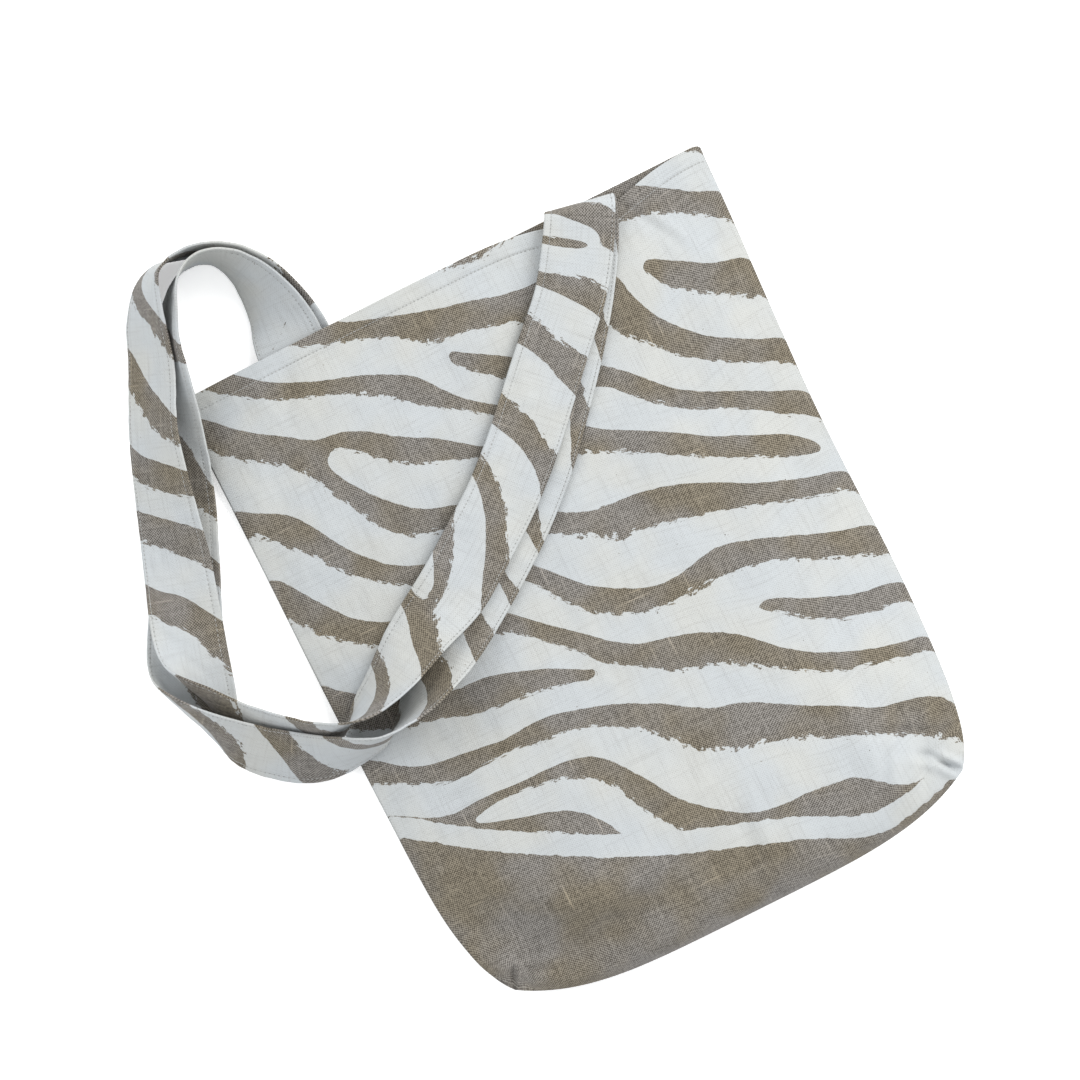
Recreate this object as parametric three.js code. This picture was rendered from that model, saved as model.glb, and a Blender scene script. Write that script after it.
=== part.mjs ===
// A linen tote bag lying on its back, with two shoulder straps that fall over its front and past its side.
// Millimetres, +Z up. The origin is under the middle of the back panel, on the floor that the bag lies on.
// +X runs across the bag, +Y runs from the base towards the mouth.
import * as THREE from 'three';

// Rows of numbers as objects with named columns.
function table(columns, rows) {
  return rows.map((row) => Object.fromEntries(columns.map((column, i) => [column, row[i]])));
}

// Cloth
const CLOTH = 1.2; // one layer of the linen
const HEM_DEPTH = 12; // how far the turned hem reaches down from the mouth
const HEM_CLOTH = 1.0;
const GAP = 0.3; // left between pieces that are sewn together

// Straps
const STRAP_WIDTH = 48;
const STRAP_CLOTH = 2.4; // four layers folded together
const STRAP_BEVEL = 0.6;

// Body, a row for each cross-section from the mouth down to the base seam.
// mid, edgeLeft, edgeRight: places along Y of the middle and the side seams. left, right: the seams along X.
// crown: height of the front at the middle. seam: height of the side seams. sole: that of the back's middle.
const SECTIONS = table(['name', 'mid', 'edgeLeft', 'edgeRight', 'left', 'right', 'crown', 'seam', 'sole'], [
  ['mouth', 238, 238, 238, -191, 198, 18.5, 4.5, 0],
  ['shoulder', 185, 185, 185, -190, 196, 19.5, 4.5, 0],
  ['upper', 105, 105, 105, -189.5, 192, 21, 5, 0],
  ['middle', 31, 31, 31, -189.5, 189.5, 23, 5.5, 0],
  ['lower', -69, -69, -69, -188.5, 190, 28, 7, 0],
  ['hip', -146, -140, -142, -186, 187, 35, 10, 0],
  ['tuck', -198, -179, -182, -179, 181.5, 36, 13, 0],
  ['base fold', -225.5, -200, -203, -170.5, 174.5, 29, 14.5, 4],
  ['base seam', -235.5, -211, -213, -163, 168, 15, 15, 15],
]);
const CROWN_POWER = 2.2; // how flat the front is across its middle
const CROWN_ROUND = 0.85; // how soon it turns down to the side seam
const BASE_BOW = 4.2; // how square the base line is from corner to corner
const FLAT_SHARE = 0.6; // part of the half width over which the back lies flat on the floor

// Dents and folds of the front: an oval swelling (+) or dent (-), long along its turn from +X.
const FOLDS = table(['name', 'x', 'y', 'turn', 'long', 'wide', 'rise'], [
  ['left tuck', -150, -196, 70, 30, 11, -7],
  ['right tuck', 153, -190, 105, 34, 11, -7],
  ['base ridge', -85, -176, 4, 48, 13, 3.5],
  ['base hollow', -95, -205, 6, 55, 13, -4],
  ['right ridge', 118, -168, 100, 46, 13, 3.5],
  ['middle hollow', 20, -205, 84, 34, 15, -3],
  ['strap sag', -150, 58, 30, 52, 20, -3.5],
  ['side swell', 110, -30, 80, 110, 42, 2.5],
]);

// The front's mouth is pulled back where the straps fold over it.
const MOUTH_DIP = { x: 114, wide: 42, deep: 12.5 };
const DIP_REACH = 70; // how far down the front the pull fades out

const ACROSS = 24; // facets across each panel
const DOWN = 29; // facets from mouth to base
const STRAP_STEPS = 4; // facets between two rows of a strap's table

// Straps, a row for each section from the right-hand sewn end to the left-hand one.
// x, y, z: middle of the strap. heading: the way it runs after the fold at the mouth, in degrees from +X.
// roll: how far its inner edge is turned up about its middle, in degrees (-90 stands it on the inner edge).
const STRAP_FRONT = table(['x', 'y', 'z', 'heading', 'roll'], [
  [107, 206, 10.5, -90, 3.5],
  [107.4, 220, 10.3, -93, 3.5],
  [107.6, 230.6, 11.3, -97, 3.5],
  [107.9, 233.1, 15, -100, 3.5],
  [106, 228.4, 18.1, -106, 3.5],
  [97.5, 211, 19.2, -115, 3],
  [78.5, 181, 20.6, -122, 3],
  [57, 153, 21.8, -128, 2],
  [34, 126, 22.8, -131, 1],
  [10, 99, 23.6, -134, 0],
  [-18, 73, 24.5, -139, 0],
  [-48, 50, 25, -144, -1],
  [-77, 30, 25.4, -146, -7],
  [-106, 9, 29.4, -146, -24],
  [-134, -11, 38, -149, -60],
  [-158, -23, 39, -164, -90],
  [-176, -24.5, 35.4, 172, -107],
  [-191, -21.5, 27.6, 158, -120],
  [-207, -15.5, 20, 150, -133],
  [-223.5, -6, 17, 144, -139],
  [-240, 6.5, 17.8, 137, -136],
  [-254.5, 22, 20.6, 128, -125],
  [-266, 39.5, 23, 117, -113],
  [-273, 56.5, 24.4, 105, -98],
  [-273.5, 72.5, 22.4, 84, -66],
  [-264, 88.5, 11.4, 66, -24],
  [-250, 109, 2.8, 61, -2],
  [-237, 136, 2.4, 63, 0],
  [-225, 163, 3.2, 63, 3],
  [-215, 187, 5.6, 64, 9],
  [-205, 211, 10, 65, 21],
  [-191.5, 242, 16.5, 66, 41],
  [-180, 272, 21, 66, 58],
  [-165, 297, 23.4, 58, 70],
  [-149, 313, 24.6, 25, 80],
  [-131, 315, 24.8, -15, 92],
  [-117, 304, 24, -48, 108],
  [-109, 287, 21.5, -66, 126],
  [-105, 268, 17.5, -80, 143],
  [-105, 251, 12.4, -90, 163],
  [-106, 236, 9.9, -90, 175.5],
  [-106, 213, 10, -90, 176.5],
]);
const STRAP_BACK = table(['x', 'y', 'z', 'heading', 'roll'], [
  [108.5, 206, 4.3, -90, 0],
  [108.6, 220, 4.3, -93, 0],
  [108.4, 231.6, 7.6, -97, 1],
  [107.9, 236.9, 14.6, -100, 2.6],
  [105.4, 231, 22.8, -106, 2.4],
  [94.5, 212, 22.6, -116, 3],
  [76.5, 186, 23.8, -120, 3],
  [54, 163, 25, -124, 2],
  [29, 137, 26.2, -129, 1],
  [3, 110, 27.1, -132, 0],
  [-25, 85, 27.9, -137, 0],
  [-55, 63, 28.4, -142, -1],
  [-84, 43, 28.8, -146, -6],
  [-113, 25, 31.4, -147, -19],
  [-141, 8, 36.6, -150, -46],
  [-165, -3, 37.8, -166, -86],
  [-184, -9, 32.5, 172, -107],
  [-200.5, -5, 26, 157, -128],
  [-216, 3.5, 21, 147, -135],
  [-231, 18.5, 22.2, 134, -122],
  [-241, 38, 25.6, 113, -95],
  [-250, 51, 27.4, 84, -73],
  [-254, 61.5, 28.4, 68, -51],
  [-256, 73.5, 26.6, 63, -30],
  [-253, 90.5, 18.8, 64, -13],
  [-247.5, 114, 9.6, 65, -2],
  [-239, 139, 9.8, 65, 9],
  [-231.5, 164, 13.4, 66, 20],
  [-224, 190, 15.2, 66, 29],
  [-214.5, 221, 18, 66, 38],
  [-203.4, 246.5, 18.4, 65, 41],
  [-191.5, 272.5, 19.4, 64, 43],
  [-181.5, 300, 22, 63, 53],
  [-173, 314.5, 23.6, 56, 61],
  [-162, 321.8, 24.4, 30, 73],
  [-147, 323, 24.7, -2, 86],
  [-130, 319.5, 24.8, -22, 94],
  [-114, 307.5, 23.6, -48, 107],
  [-104.5, 289, 20.4, -66, 125],
  [-100.5, 268.5, 15.2, -80, 142],
  [-100, 250, 9, -90, 162],
  [-101, 233, 5.4, -95, 178],
  [-102, 213, 4.7, -96, 180],
]);

// Value of one column at a fractional row, by a Catmull-Rom spline through the rows.
function smooth(rows, column, at) {
  const last = rows.length - 1;
  const row = Math.min(Math.floor(at), last - 1);
  const s = at - row;
  const value = (i) => rows[Math.max(0, Math.min(last, i))][column];
  const [p0, p1, p2, p3] = [value(row - 1), value(row), value(row + 1), value(row + 2)];
  return p1 + 0.5 * s * (p2 - p0 + s * (2 * p0 - 5 * p1 + 4 * p2 - p3 + s * (3 * (p1 - p2) + p3 - p0)));
}

// The fractional row of SECTIONS whose middle lies at a place along Y.
function rowAt(y) {
  let [low, high] = [0, SECTIONS.length - 1];
  for (let step = 0; step < 30; step += 1) {
    const half = (low + high) / 2;
    if (smooth(SECTIONS, 'mid', half) > y) low = half;
    else high = half;
  }
  return low;
}

function foldRise(x, y) {
  let rise = 0;
  for (const fold of FOLDS) {
    const turn = THREE.MathUtils.degToRad(fold.turn);
    const along = (x - fold.x) * Math.cos(turn) + (y - fold.y) * Math.sin(turn);
    const aside = (y - fold.y) * Math.cos(turn) - (x - fold.x) * Math.sin(turn);
    rise += fold.rise * Math.exp(-((along / fold.long) ** 2) - (aside / fold.wide) ** 2);
  }
  return rise;
}

// Place along Y of a row of the body: straight at the mouth, bowed out at the base.
function rowLine(across, at) {
  const edge = smooth(SECTIONS, across < 0 ? 'edgeLeft' : 'edgeRight', at);
  return edge + (smooth(SECTIONS, 'mid', at) - edge) * (1 - Math.abs(across) ** BASE_BOW);
}

// Outer surface of the front at across (-1 left seam, 1 right seam) and a fractional row of SECTIONS.
function frontPoint(across, at) {
  const section = (column) => smooth(SECTIONS, column, at);
  const [left, right, seam] = [section('left'), section('right'), section('seam')];
  const x = (left + right) / 2 + (across * (right - left)) / 2;
  const side = Math.abs(across);
  let y = rowLine(across, at);
  const fromMouth = SECTIONS[0].mid - y;
  const pull = Math.exp(-(((x - MOUTH_DIP.x) / MOUTH_DIP.wide) ** 2));
  y -= MOUTH_DIP.deep * pull * Math.max(0, 1 - fromMouth / DIP_REACH);
  const dome = Math.max(0, 1 - side ** CROWN_POWER) ** CROWN_ROUND;
  const stand = section('crown') - seam;
  const z = seam + GAP / 2 + dome * stand + foldRise(x, y) * dome * Math.min(1, Math.max(0, stand) / 12);
  return new THREE.Vector3(x, y, z);
}

// Outer surface of the back, which lies on the floor and turns up to the side seams and the base seam.
function backPoint(across, at) {
  const section = (column) => smooth(SECTIONS, column, at);
  const [left, right, seam] = [section('left'), section('right'), section('seam')];
  const x = (left + right) / 2 + (across * (right - left)) / 2;
  const side = Math.abs(across);
  const y = rowLine(across, at);
  const turn = Math.max(0, (side - FLAT_SHARE) / (1 - FLAT_SHARE));
  const curl = 1 - Math.sqrt(Math.max(0, 1 - turn ** 3));
  const sole = Math.max(0, section('sole'));
  const lowered = (GAP / 2) * Math.max(curl, sole / seam);
  return new THREE.Vector3(x, y, Math.max(0, sole + (seam - sole) * curl - lowered));
}

// A place on a panel, moved by depth towards the inside of the bag.
function inside(point, across, at, depth, up) {
  const step = 0.01;
  const clamp = (v, most) => Math.max(-most, Math.min(most, v));
  const wide = clamp(across, 1 - 2 * step);
  const low = Math.max(2 * step, Math.min(SECTIONS.length - 1 - 2 * step, at));
  const alongX = point(wide + step, low).sub(point(wide - step, low));
  const alongY = point(wide, low - step).sub(point(wide, low + step));
  const normal = alongX.cross(alongY).normalize();
  if (normal.z < 0) normal.negate();
  return point(across, at).addScaledVector(normal, up ? depth : -depth);
}

// A sheet between two depths under a panel's outer surface, over part of its width and length.
function sheet(point, up, depths, acrossEnd, columns, atEnd, rows) {
  const [outer, inner] = depths;
  const grid = (depth) => {
    const places = [];
    for (let j = 0; j <= rows; j += 1) {
      const at = (atEnd * j) / rows;
      for (let i = 0; i <= columns; i += 1) {
        const across = acrossEnd * Math.sin((i / columns - 0.5) * Math.PI);
        const place = inside(point, across, at, depth, up);
        const seam = smooth(SECTIONS, 'seam', at);
        place.z = up ? Math.min(place.z, seam - GAP / 2) : Math.max(place.z, seam + GAP / 2);
        places.push(place);
      }
    }
    return places;
  };
  return closedSheet(grid(outer), grid(inner), columns, rows, up);
}

// A closed solid from two grids of places, the first one facing away from the second.
function closedSheet(outer, inner, columns, rows, flip) {
  const places = [...outer, ...inner];
  const width = columns + 1;
  const other = outer.length;
  const faces = [];
  const quad = (a, b, c, d) => {
    if (flip) faces.push(a, c, b, a, d, c);
    else faces.push(a, b, c, a, c, d);
  };
  for (let j = 0; j < rows; j += 1) {
    for (let i = 0; i < columns; i += 1) {
      const a = j * width + i;
      quad(a, a + width, a + width + 1, a + 1);
      quad(other + a, other + a + 1, other + a + width + 1, other + a + width);
    }
    const [l, r] = [j * width, j * width + columns];
    quad(l, other + l, other + l + width, l + width);
    quad(r, r + width, other + r + width, other + r);
  }
  for (let i = 0; i < columns; i += 1) {
    const [t, b] = [i, rows * width + i];
    quad(t, t + 1, other + t + 1, other + t);
    quad(b, other + b, other + b + 1, b + 1);
  }
  const geometry = new THREE.BufferGeometry();
  geometry.setAttribute('position', new THREE.Float32BufferAttribute(places.flatMap((p) => p.toArray()), 3));
  geometry.setIndex(faces);
  geometry.computeVertexNormals();
  return geometry;
}

// A flat strap with bevelled edges, carried along the rows of its table.
function strap(rows) {
  const [w, t, b] = [STRAP_WIDTH / 2, STRAP_CLOTH / 2, STRAP_BEVEL];
  const outline = [
    [-w + b, t], [-w, t - b], [-w, b - t], [-w + b, -t], [w - b, -t], [w, b - t], [w, t - b], [w - b, t],
  ];
  const middle = (at) => new THREE.Vector3(...['x', 'y', 'z'].map((column) => smooth(rows, column, at)));
  const steps = (rows.length - 1) * STRAP_STEPS;
  const places = [];
  for (let k = 0; k <= steps; k += 1) {
    const at = k / STRAP_STEPS;
    const ends = [Math.max(0, at - 0.05), Math.min(rows.length - 1, at + 0.05)];
    const along = middle(ends[1]).sub(middle(ends[0])).normalize();
    const heading = THREE.MathUtils.degToRad(smooth(unwound(rows), 'heading', at));
    const roll = THREE.MathUtils.degToRad(smooth(rows, 'roll', at));
    const across = new THREE.Vector3(Math.sin(heading), -Math.cos(heading), 0).multiplyScalar(Math.cos(roll));
    across.z = Math.sin(roll);
    across.addScaledVector(along, -across.dot(along)).normalize();
    const face = new THREE.Vector3().crossVectors(across, along);
    for (const [a, f] of outline) {
      places.push(middle(at).addScaledVector(across, a).addScaledVector(face, f));
    }
  }
  return closedTube(places, outline.length, steps);
}

// The same rows with headings that never jump by a whole turn.
function unwound(rows) {
  let last = rows[0].heading;
  return rows.map((row) => {
    last += ((((row.heading - last) % 360) + 540) % 360) - 180;
    return { ...row, heading: last };
  });
}

function closedTube(places, sides, steps) {
  const faces = [];
  for (let k = 0; k < steps; k += 1) {
    for (let i = 0; i < sides; i += 1) {
      const [a, b] = [k * sides + i, k * sides + ((i + 1) % sides)];
      faces.push(a, b + sides, b, a, a + sides, b + sides);
    }
  }
  for (let i = 1; i < sides - 1; i += 1) {
    const end = steps * sides;
    faces.push(0, i, i + 1, end, end + i + 1, end + i);
  }
  const geometry = new THREE.BufferGeometry();
  geometry.setAttribute('position', new THREE.Float32BufferAttribute(places.flatMap((p) => p.toArray()), 3));
  geometry.setIndex(faces);
  geometry.computeVertexNormals();
  return geometry;
}

const linen = new THREE.MeshStandardMaterial({ color: 0xb9b3a6, roughness: 0.9, metalness: 0 });
const linenInside = new THREE.MeshStandardMaterial({ color: 0x968a7a, roughness: 0.9, metalness: 0 });
const strapLinen = new THREE.MeshStandardMaterial({ color: 0xc9c7c0, roughness: 0.88, metalness: 0 });

const tote = new THREE.Group();
function add(name, geometry, material) {
  const mesh = new THREE.Mesh(geometry, material);
  mesh.name = name;
  tote.add(mesh);
}

const lastRow = SECTIONS.length - 1;
const hemRows = rowAt(SECTIONS[0].mid - HEM_DEPTH);
const hemDepths = [CLOTH + GAP, CLOTH + GAP + HEM_CLOTH];
add('front_panel', sheet(frontPoint, false, [0, CLOTH], 1, ACROSS, lastRow, DOWN), linen);
add('back_panel', sheet(backPoint, true, [0, CLOTH], 1, ACROSS, lastRow, DOWN), linen);
add('front_hem', sheet(frontPoint, false, hemDepths, 0.92, ACROSS, hemRows, 2), linenInside);
add('back_hem', sheet(backPoint, true, hemDepths, 0.92, ACROSS, hemRows, 2), linenInside);
add('strap_front', strap(STRAP_FRONT), strapLinen);
add('strap_back', strap(STRAP_BACK), strapLinen);

export default tote;
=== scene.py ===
"""Dresses a linen tote bag that lies on its back: panels, turned hems, shoulder straps and stitches."""
import math

import bpy
import numpy as np
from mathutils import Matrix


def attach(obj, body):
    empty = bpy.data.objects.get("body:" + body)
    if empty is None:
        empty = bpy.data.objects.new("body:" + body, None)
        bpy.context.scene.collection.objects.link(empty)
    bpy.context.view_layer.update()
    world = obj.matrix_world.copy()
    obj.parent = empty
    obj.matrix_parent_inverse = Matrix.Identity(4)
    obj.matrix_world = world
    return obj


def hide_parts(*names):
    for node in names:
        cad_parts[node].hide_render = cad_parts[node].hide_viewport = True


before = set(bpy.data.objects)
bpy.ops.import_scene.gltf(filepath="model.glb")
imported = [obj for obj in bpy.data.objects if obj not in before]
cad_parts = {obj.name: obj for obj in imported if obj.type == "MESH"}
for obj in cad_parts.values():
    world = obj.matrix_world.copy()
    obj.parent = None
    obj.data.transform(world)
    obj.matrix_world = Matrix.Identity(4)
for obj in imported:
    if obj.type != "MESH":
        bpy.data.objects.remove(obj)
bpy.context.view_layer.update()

bl_info = {
    "name": "Linen tote bag",
    "version": (1, 0, 0),
    "blender": (4, 5, 0),
    "location": "View3D > Sidebar > Tote",
    "description": "Cloth panels, hems, shoulder straps and stitches of a printed linen tote bag",
    "category": "Add Mesh",
}

MM = 0.001


def table(columns, rows):
    """Rows of numbers as one array for each named column."""
    return {name: np.array([row[i] for row in rows], float) for i, name in enumerate(columns.split())}


def srgb(red, green, blue):
    """A colour in 0 to 255 steps as the linear values that shaders use."""
    steps = [c / 255 for c in (red, green, blue)]
    return tuple(c / 12.92 if c <= 0.04045 else ((c + 0.055) / 1.055) ** 2.4 for c in steps)


def rgba(*steps):
    return (*srgb(*steps), 1)


# Body of the bag in millimetres, a row for each cross-section from the mouth down to the base seam
SECTIONS = table("mid edge_left edge_right left right crown seam sole", [
    (238, 238, 238, -191, 198, 18.5, 4.5, 0),
    (185, 185, 185, -190, 196, 19.5, 4.5, 0),
    (105, 105, 105, -189.5, 192, 21, 5, 0),
    (31, 31, 31, -189.5, 189.5, 23, 5.5, 0),
    (-69, -69, -69, -188.5, 190, 28, 7, 0),
    (-146, -140, -142, -186, 187, 35, 10, 0),
    (-198, -179, -182, -179, 181.5, 36, 13, 0),
    (-225.5, -200, -203, -170.5, 174.5, 29, 14.5, 4),
    (-235.5, -211, -213, -163, 168, 15, 15, 15),
])
CROWN_POWER = 2.2
CROWN_ROUND = 0.85
BASE_BOW = 4.2
FLAT_SHARE = 0.6
CORNER_ROUND = 0.035
CORNER_DROP = 2.6
CORNER_ROWS = 0.3
LOOSE_STAND = 12
GAP = 0.3
LEAST_CLOTH = 0.1
RIM_STEPS = 5
BASE_CROWDING = 0.55
ROW_SAMPLES = 4000
MOUTH_DIP = {"x": 114, "wide": 42, "deep": 12.5, "reach": 70}

# Broad dents and folds of the front: an oval swelling (+) or dent (-), long along its turn from +X
FOLDS = table("x y turn long wide rise", [
    (-150, -196, 70, 30, 11, -7),
    (153, -190, 105, 34, 11, -7),
    (-85, -176, 4, 48, 13, 3.5),
    (-95, -205, 6, 55, 13, -4),
    (118, -168, 100, 46, 13, 3.5),
    (20, -205, 84, 34, 15, -1.2),
    (-150, 58, 30, 52, 20, -3.5),
    (110, -30, 80, 110, 42, 2.5),
])
# Narrow creases and puckers, in the same columns
CREASES = table("x y turn long wide rise", [
    (-143, -207, -22, 14, 3.4, -1.6),
    (-142, -186, -34, 42, 17, -5.0),
    (-110, -166, -32, 36, 11, 3.6),
    (-64, -214, 30, 24, 12, 1.6),
    (-84, -202, 16, 42, 9, -2.6),
    (148, -196, 60, 12, 3.2, -1.8),
    (138, -196, 66, 16, 6.0, 2.2),
    (148, -174, -26, 26, 4.0, -1.8),
    (144, -166, -26, 30, 5.0, 1.5),
    (122, -184, 66, 24, 4.2, -1.6),
    (128, -186, 66, 24, 4.4, 1.4),
    (-172, 4, 24, 20, 2.8, -1.8),
    (-168, -1, 24, 24, 3.4, 1.3),
    (18, -196, 80, 26, 5.0, -1.6),
    (30, -198, 82, 24, 5.0, 1.4),
    (92, 222, 250, 26, 4.2, -1.2),
    (140, 214, 300, 34, 4.0, -1.6),
    (148, 208, 300, 34, 4.4, 1.2),
    (60, 214, 226, 30, 4.4, -1.0),
    (-120, 212, 60, 34, 4.2, -0.8),
])
# Sharp tucks at the two base corners, in the same columns
TUCKS = table("x y turn long wide rise", [
    (-161.5, -204, 60, 9, 1.5, -3.6),
    (-157.3, -205.5, 60, 10, 2.2, 3.0),
    (-152, -208, 50, 12, 3.4, -1.8),
    (-166.5, -200, 58, 11, 3.0, 1.8),
    (161, -206, -52, 11, 1.6, -3.4),
    (164.2, -203, -52, 12, 2.4, 2.6),
    (156.5, -208, -50, 12, 3.2, 2.2),
    (150, -192, -30, 9, 2.4, -1.6),
    (146, -197, -34, 11, 3.2, 1.5),
])

# Camera above the bag, and the size of the photo's frame on the floor
CAMERA_PLACE = (-14.86 * MM, 48.77 * MM, 1.6)
CAMERA_TURN = -26.5
FRAME_WIDTH = 723.6 * MM
FRAME_PIXELS = 1080

# Straps in millimetres, a row for each section from the right-hand sewn end to the left-hand one
STRAP_COLUMNS = "x y z heading roll"
# Where a strap turns back beside the bag, a row gives its upper rim and its foot instead: the pixels
# right and down in the photo's frame, and the height. square is 1 where the strap keeps its width, and
# 0 where the row runs slantwise over a diagonal fold
TURN_COLUMNS = "rim_right rim_down rim_high foot_right foot_down foot_high square"
STRAP_FRONT = {
    "over": table(STRAP_COLUMNS, [
        (107, 206, 9.0, -90, 2.2),
        (107.4, 220, 9.0, -93, 2.2),
        (107.6, 231, 10.4, -97, 2.2),
        (107.9, 233.1, 15, -100, 3.5),
        (106, 228.4, 18.1, -106, 3.5),
        (97.5, 211, 19.2, -115, 3),
        (78.5, 181, 20.6, -122, 3),
        (57, 153, 21.8, -128, 2),
        (34, 126, 22.8, -131, 1),
        (10, 99, 23.6, -134, 0),
        (-18, 73, 24.5, -139, 0),
        (-48, 50, 25, -144, -1),
        (-77, 30, 25.4, -146, -7),
    ]),
    "turn": table(TURN_COLUMNS, [
        (471, 668, 40, 414, 640, 20, 1),
        (433, 708, 57, 404, 690, 17, 1),
        (391, 734, 62, 390, 738, 14.5, 1),
        (364, 739, 58, 374, 756, 12, 1),
        (343, 737, 48, 352, 771, 6, 1),
        (323, 735, 38, 325, 782, 2.2, 1),
        (297, 732, 33.5, 293, 783, 1.6, 1),
        (269, 727, 34.5, 262, 777, 1.6, 1),
        (239, 721, 36, 247, 770, 2.2, 0),
        (210, 713, 36, 237, 764, 3.4, 0),
        (180, 701, 31, 230, 757, 5, 0),
        (154, 684, 18, 226, 745, 6, 0),
        (147, 664, 8, 225, 720, 4, 0),
        (147, 640, 4, 224, 682, 3, 0),
        (149, 606, 2.6, 223, 628, 2.6, 0),
    ]),
    "up": table(STRAP_COLUMNS, [
        (-225, 163, 3.2, 63, 3),
        (-215, 187, 5.6, 64, 9),
        (-205, 211, 10, 65, 21),
        (-191.5, 242, 16.5, 66, 41),
        (-180, 272, 21, 66, 58),
        (-165, 297, 23.4, 58, 70),
        (-149, 313, 24.6, 25, 80),
        (-131, 315, 24.8, -15, 92),
        (-117, 304, 24, -48, 108),
        (-109, 287, 21.5, -66, 126),
        (-105, 268, 17.5, -80, 143),
        (-105, 251, 12.4, -90, 163),
        (-106, 236, 9.9, -90, 175.5),
        (-106, 213, 10, -90, 176.5),
    ]),
}
STRAP_BACK = {
    "over": table(STRAP_COLUMNS, [
        (108.5, 206, 4.3, -90, 0),
        (108.6, 220, 4.3, -93, 0),
        (108.4, 231.6, 7.6, -97, 1),
        (107.9, 236.9, 14.6, -100, 2.6),
        (105.4, 231, 22.8, -106, 2.4),
        (94.5, 212, 22.6, -116, 3),
        (76.5, 186, 23.8, -120, 3),
        (54, 163, 25, -124, 2),
        (29, 137, 26.2, -129, 1),
        (3, 110, 27.1, -132, 0),
        (-25, 85, 27.9, -137, 0),
        (-55, 63, 28.4, -142, -1),
        (-84, 43, 28.8, -146, -6),
    ]),
    "turn": table(TURN_COLUMNS, [
        (443, 650, 44, 391, 623, 21, 1),
        (411, 690, 56, 370, 665, 19, 1),
        (371, 718, 61, 353, 703, 14, 1),
        (342, 724, 57, 345, 736, 10, 1),
        (320, 722, 50, 326, 750, 6, 1),
        (298, 720, 46.5, 297, 744, 1.8, 1),
        (270, 712.5, 43, 268, 746, 2.4, 0),
        (240, 702, 42, 256, 745, 3, 0),
        (208, 687, 37, 248, 743, 7, 0),
        (182, 677, 30, 242, 738, 9.5, 0),
        (163, 666, 21, 240, 722, 10.5, 0),
        (153, 644, 14, 236, 690, 10, 0),
        (148, 612, 10, 227, 645, 10, 0),
    ]),
    "up": table(STRAP_COLUMNS, [
        (-239, 139, 9.8, 65, 9),
        (-231.5, 164, 13.4, 66, 20),
        (-224, 190, 15.2, 66, 29),
        (-214.5, 221, 18, 66, 38),
        (-203.4, 246.5, 18.4, 65, 41),
        (-191.5, 272.5, 19.4, 64, 43),
        (-181.5, 300, 22, 63, 53),
        (-173, 314.5, 23.6, 56, 61),
        (-162, 321.8, 24.4, 30, 73),
        (-147, 323, 24.7, -2, 86),
        (-130, 319.5, 24.8, -22, 94),
        (-114, 307.5, 23.6, -48, 107),
        (-104.5, 289, 20.4, -66, 125),
        (-100.5, 268.5, 15.2, -80, 142),
        (-100, 250, 9, -90, 162),
        (-101, 233, 5.4, -95, 178),
        (-102, 213, 4.7, -96, 180),
    ]),
}

# Forks of the brushed stripes, where one stroke splits off from its neighbours, in metres on the cloth
FORKS = table("x y turns", [
    (-0.118, -0.075, 1),
    (0.042, -0.152, -1),
    (0.131, -0.062, 1),
    (-0.046, -0.262, -1),
    (0.098, -0.298, 1),
    (-0.142, -0.318, 1),
    (0.012, -0.048, 1),
    (0.168, -0.214, -1),
])


def length_setting(name, description, size):
    return bpy.props.FloatProperty(name=name, description=description, default=size * MM, unit="LENGTH")


def colour_setting(name, description, *steps):
    return bpy.props.FloatVectorProperty(
        name=name, description=description, default=srgb(*steps), subtype="COLOR")


class ToteSizes(bpy.types.PropertyGroup):
    """Sizes of the cloth, the straps and the sewing, in millimetres here."""
    cloth: length_setting("Cloth", "Thickness of one layer of linen", 1.2)
    hem_depth: length_setting("Hem depth", "How far the turned hem reaches down", 12)
    hem_cloth: length_setting("Hem cloth", "Thickness of the turned hem", 1.0)
    hem_stitch: length_setting("Hem stitch", "Stitch row below the mouth", 10.8)
    strap_width: length_setting("Strap width", "Width of a finished strap", 48)
    strap_cloth: length_setting("Strap cloth", "Thickness of a folded strap", 1.7)
    outer_row: length_setting("Outer row", "Stitch row from the strap's outer edge", 2.2)
    inner_row: length_setting("Inner row", "Stitch row from the strap's folded edge", 4.8)
    stitch_pitch: length_setting("Stitch pitch", "Length of one stitch", 2.8)
    thread_pitch: length_setting("Thread pitch", "Distance between two threads", 0.95)
    stripe_period: length_setting("Stripe period", "From one brushed stroke to the next", 43)


class ToteColours(bpy.types.PropertyGroup):
    """Colours of the linen, the printed paint, the thread and the floor, in steps of 0 to 255 here."""
    linen: colour_setting("Linen", "Unbleached linen", 152, 148, 143)
    linen_dark: colour_setting("Linen shade", "Dark threads of the linen", 70, 66, 61)
    paint: colour_setting("Paint", "White pigment of the print", 190, 193, 193)
    paint_thin: colour_setting("Thin paint", "Paint where the threads show", 166, 167, 166)
    thread: colour_setting("Thread", "Sewing thread", 188, 189, 187)
    floor: colour_setting("Floor", "Studio floor", 250, 250, 250)


# Curves and surfaces

def smooth(values, at):
    """Values of a column at fractional rows, by a Catmull-Rom spline through the rows."""
    last = len(values) - 1
    row = np.clip(np.floor(at).astype(int), 0, last - 1)
    s = at - row
    p0, p1, p2, p3 = (values[np.clip(row + k, 0, last)] for k in (-1, 0, 1, 2))
    return p1 + 0.5 * s * (p2 - p0 + s * (2 * p0 - 5 * p1 + 4 * p2 - p3 + s * (3 * (p1 - p2) + p3 - p0)))


def section(column, at):
    return smooth(SECTIONS[column], at)


def bell(distance, wide):
    """1 at no distance, dying away smoothly over a width."""
    return np.exp(-(distance / wide) ** 2)


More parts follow.
